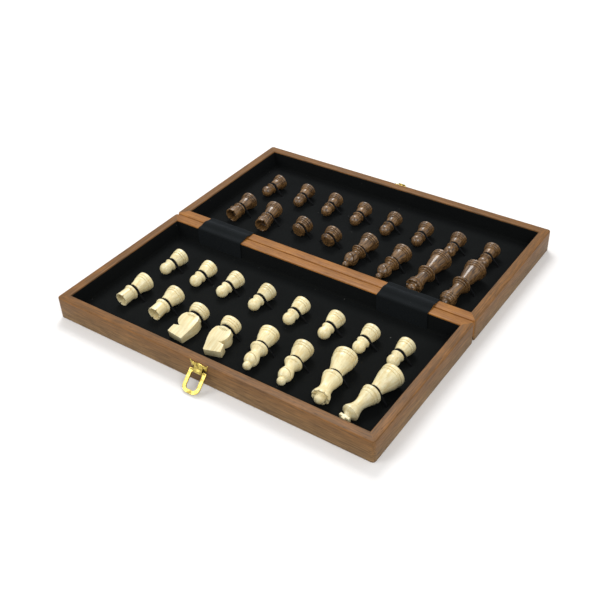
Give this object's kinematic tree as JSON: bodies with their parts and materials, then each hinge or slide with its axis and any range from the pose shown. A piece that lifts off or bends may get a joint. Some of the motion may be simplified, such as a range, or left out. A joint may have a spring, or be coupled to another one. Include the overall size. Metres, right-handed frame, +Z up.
{
  "type": "folding chess set",
  "caption": "Folding wooden chess case, lying open: two hinged trays with a playing board underneath, and turned pieces held in the trays by elastic loops.",
  "frame": {"origin": "on the table, at the middle of the line where the two open trays meet", "axes": "+X along the fold, +Y to the far tray, +Z up out of the open trays"},
  "size_m": [0.3, 0.3191, 0.0236],
  "materials": {
    "walnut": "satin",
    "hinge_wall_wood": "satin",
    "dark_squares": "satin",
    "light_squares": "satin",
    "lining_cloth": "matte",
    "cover_cloth": "matte",
    "elastic": "matte",
    "brass": "satin",
    "boxwood": "satin",
    "stained_wood": "gloss"
  },
  "bodies": {
    "near_half": {"near_front_rail": "walnut", "near_side_rails": "walnut", "near_hinge_rail": "hinge_wall_wood", "near_panel": "walnut", "near_dark_squares": "dark_squares", "near_light_squares": "light_squares", "near_lining": "lining_cloth", "near_elastics": "elastic", "near_hinge_leaves": "brass", "hinge_pins": "brass", "near_hinge_screws": "brass", "hinge_covers": "cover_cloth", "clasp_plate": "brass", "clasp_nails": "brass"},
    "far_half": {"far_back_rail": "walnut", "far_side_rails": "walnut", "far_hinge_rail": "hinge_wall_wood", "far_panel": "walnut", "far_dark_squares": "dark_squares", "far_light_squares": "light_squares", "far_lining": "lining_cloth", "far_elastics": "elastic", "far_hinge_leaves": "brass", "far_hinge_screws": "brass", "catch_plate": "brass", "catch_nails": "brass"},
    "clasp": {"clasp_loop": "brass"},
    "white_pawn_1": {"white_pawn_1": "boxwood"},
    "white_pawn_2": {"white_pawn_2": "boxwood"},
    "white_pawn_3": {"white_pawn_3": "boxwood"},
    "white_pawn_4": {"white_pawn_4": "boxwood"},
    "white_pawn_5": {"white_pawn_5": "boxwood"},
    "white_pawn_6": {"white_pawn_6": "boxwood"},
    "white_pawn_7": {"white_pawn_7": "boxwood"},
    "white_pawn_8": {"white_pawn_8": "boxwood"},
    "white_rook_1": {"white_rook_1": "boxwood"},
    "white_rook_2": {"white_rook_2": "boxwood"},
    "white_knight_1": {"white_knight_1": "boxwood"},
    "white_knight_2": {"white_knight_2": "boxwood"},
    "white_bishop_1": {"white_bishop_1": "boxwood"},
    "white_bishop_2": {"white_bishop_2": "boxwood"},
    "white_queen": {"white_queen": "boxwood"},
    "white_king": {"white_king": "boxwood"},
    "dark_pawn_1": {"dark_pawn_1": "stained_wood"},
    "dark_pawn_2": {"dark_pawn_2": "stained_wood"},
    "dark_pawn_3": {"dark_pawn_3": "stained_wood"},
    "dark_pawn_4": {"dark_pawn_4": "stained_wood"},
    "dark_pawn_5": {"dark_pawn_5": "stained_wood"},
    "dark_pawn_6": {"dark_pawn_6": "stained_wood"},
    "dark_pawn_7": {"dark_pawn_7": "stained_wood"},
    "dark_pawn_8": {"dark_pawn_8": "stained_wood"},
    "dark_rook_1": {"dark_rook_1": "stained_wood"},
    "dark_rook_2": {"dark_rook_2": "stained_wood"},
    "dark_knight_1": {"dark_knight_1": "stained_wood"},
    "dark_knight_2": {"dark_knight_2": "stained_wood"},
    "dark_bishop_1": {"dark_bishop_1": "stained_wood"},
    "dark_bishop_2": {"dark_bishop_2": "stained_wood"},
    "dark_queen": {"dark_queen": "stained_wood"},
    "dark_king": {"dark_king": "stained_wood"}
  },
  "joints": [
    {"name": "fold", "type": "hinge", "parent": "near_half", "child": "far_half", "pos_m": [0, 0, 0.0203], "axis": [-1, 0, 0], "range_deg": [-180, 0], "deforming": ["hinge_covers"]},
    {"name": "clasp_swing", "type": "hinge", "parent": "near_half", "child": "clasp", "pos_m": [0, -0.1522, 0.0125], "axis": [1, 0, 0], "range_deg": [-132, 48]},
    {"name": "lift_white_pawn_1", "type": "slide", "parent": "near_half", "child": "white_pawn_1", "axis": [0, 0, 1], "range_m": [0, 0.06]},
    {"name": "lift_white_pawn_2", "type": "slide", "parent": "near_half", "child": "white_pawn_2", "axis": [0, 0, 1], "range_m": [0, 0.06]},
    {"name": "lift_white_pawn_3", "type": "slide", "parent": "near_half", "child": "white_pawn_3", "axis": [0, 0, 1], "range_m": [0, 0.06]},
    {"name": "lift_white_pawn_4", "type": "slide", "parent": "near_half", "child": "white_pawn_4", "axis": [0, 0, 1], "range_m": [0, 0.06]},
    {"name": "lift_white_pawn_5", "type": "slide", "parent": "near_half", "child": "white_pawn_5", "axis": [0, 0, 1], "range_m": [0, 0.06]},
    {"name": "lift_white_pawn_6", "type": "slide", "parent": "near_half", "child": "white_pawn_6", "axis": [0, 0, 1], "range_m": [0, 0.06]},
    {"name": "lift_white_pawn_7", "type": "slide", "parent": "near_half", "child": "white_pawn_7", "axis": [0, 0, 1], "range_m": [0, 0.06]},
    {"name": "lift_white_pawn_8", "type": "slide", "parent": "near_half", "child": "white_pawn_8", "axis": [0, 0, 1], "range_m": [0, 0.06]},
    {"name": "lift_white_rook_1", "type": "slide", "parent": "near_half", "child": "white_rook_1", "axis": [0, 0, 1], "range_m": [0, 0.06]},
    {"name": "lift_white_rook_2", "type": "slide", "parent": "near_half", "child": "white_rook_2", "axis": [0, 0, 1], "range_m": [0, 0.06]},
    {"name": "lift_white_knight_1", "type": "slide", "parent": "near_half", "child": "white_knight_1", "axis": [0, 0, 1], "range_m": [0, 0.06]},
    {"name": "lift_white_knight_2", "type": "slide", "parent": "near_half", "child": "white_knight_2", "axis": [0, 0, 1], "range_m": [0, 0.06]},
    {"name": "lift_white_bishop_1", "type": "slide", "parent": "near_half", "child": "white_bishop_1", "axis": [0, 0, 1], "range_m": [0, 0.06]},
    {"name": "lift_white_bishop_2", "type": "slide", "parent": "near_half", "child": "white_bishop_2", "axis": [0, 0, 1], "range_m": [0, 0.06]},
    {"name": "lift_white_queen", "type": "slide", "parent": "near_half", "child": "white_queen", "axis": [0, 0, 1], "range_m": [0, 0.06]},
    {"name": "lift_white_king", "type": "slide", "parent": "near_half", "child": "white_king", "axis": [0, 0, 1], "range_m": [0, 0.06], "deforming": ["near_elastics"]},
    {"name": "lift_dark_pawn_1", "type": "slide", "parent": "far_half", "child": "dark_pawn_1", "axis": [0, 0, 1], "range_m": [0, 0.06]},
    {"name": "lift_dark_pawn_2", "type": "slide", "parent": "far_half", "child": "dark_pawn_2", "axis": [0, 0, 1], "range_m": [0, 0.06]},
    {"name": "lift_dark_pawn_3", "type": "slide", "parent": "far_half", "child": "dark_pawn_3", "axis": [0, 0, 1], "range_m": [0, 0.06]},
    {"name": "lift_dark_pawn_4", "type": "slide", "parent": "far_half", "child": "dark_pawn_4", "axis": [0, 0, 1], "range_m": [0, 0.06]},
    {"name": "lift_dark_pawn_5", "type": "slide", "parent": "far_half", "child": "dark_pawn_5", "axis": [0, 0, 1], "range_m": [0, 0.06]},
    {"name": "lift_dark_pawn_6", "type": "slide", "parent": "far_half", "child": "dark_pawn_6", "axis": [0, 0, 1], "range_m": [0, 0.06]},
    {"name": "lift_dark_pawn_7", "type": "slide", "parent": "far_half", "child": "dark_pawn_7", "axis": [0, 0, 1], "range_m": [0, 0.06]},
    {"name": "lift_dark_pawn_8", "type": "slide", "parent": "far_half", "child": "dark_pawn_8", "axis": [0, 0, 1], "range_m": [0, 0.06]},
    {"name": "lift_dark_rook_1", "type": "slide", "parent": "far_half", "child": "dark_rook_1", "axis": [0, 0, 1], "range_m": [0, 0.06]},
    {"name": "lift_dark_rook_2", "type": "slide", "parent": "far_half", "child": "dark_rook_2", "axis": [0, 0, 1], "range_m": [0, 0.06]},
    {"name": "lift_dark_knight_1", "type": "slide", "parent": "far_half", "child": "dark_knight_1", "axis": [0, 0, 1], "range_m": [0, 0.06]},
    {"name": "lift_dark_knight_2", "type": "slide", "parent": "far_half", "child": "dark_knight_2", "axis": [0, 0, 1], "range_m": [0, 0.06]},
    {"name": "lift_dark_bishop_1", "type": "slide", "parent": "far_half", "child": "dark_bishop_1", "axis": [0, 0, 1], "range_m": [0, 0.06]},
    {"name": "lift_dark_bishop_2", "type": "slide", "parent": "far_half", "child": "dark_bishop_2", "axis": [0, 0, 1], "range_m": [0, 0.06]},
    {"name": "lift_dark_queen", "type": "slide", "parent": "far_half", "child": "dark_queen", "axis": [0, 0, 1], "range_m": [0, 0.06]},
    {"name": "lift_dark_king", "type": "slide", "parent": "far_half", "child": "dark_king", "axis": [0, 0, 1], "range_m": [0, 0.06], "deforming": ["far_elastics"]}
  ]
}
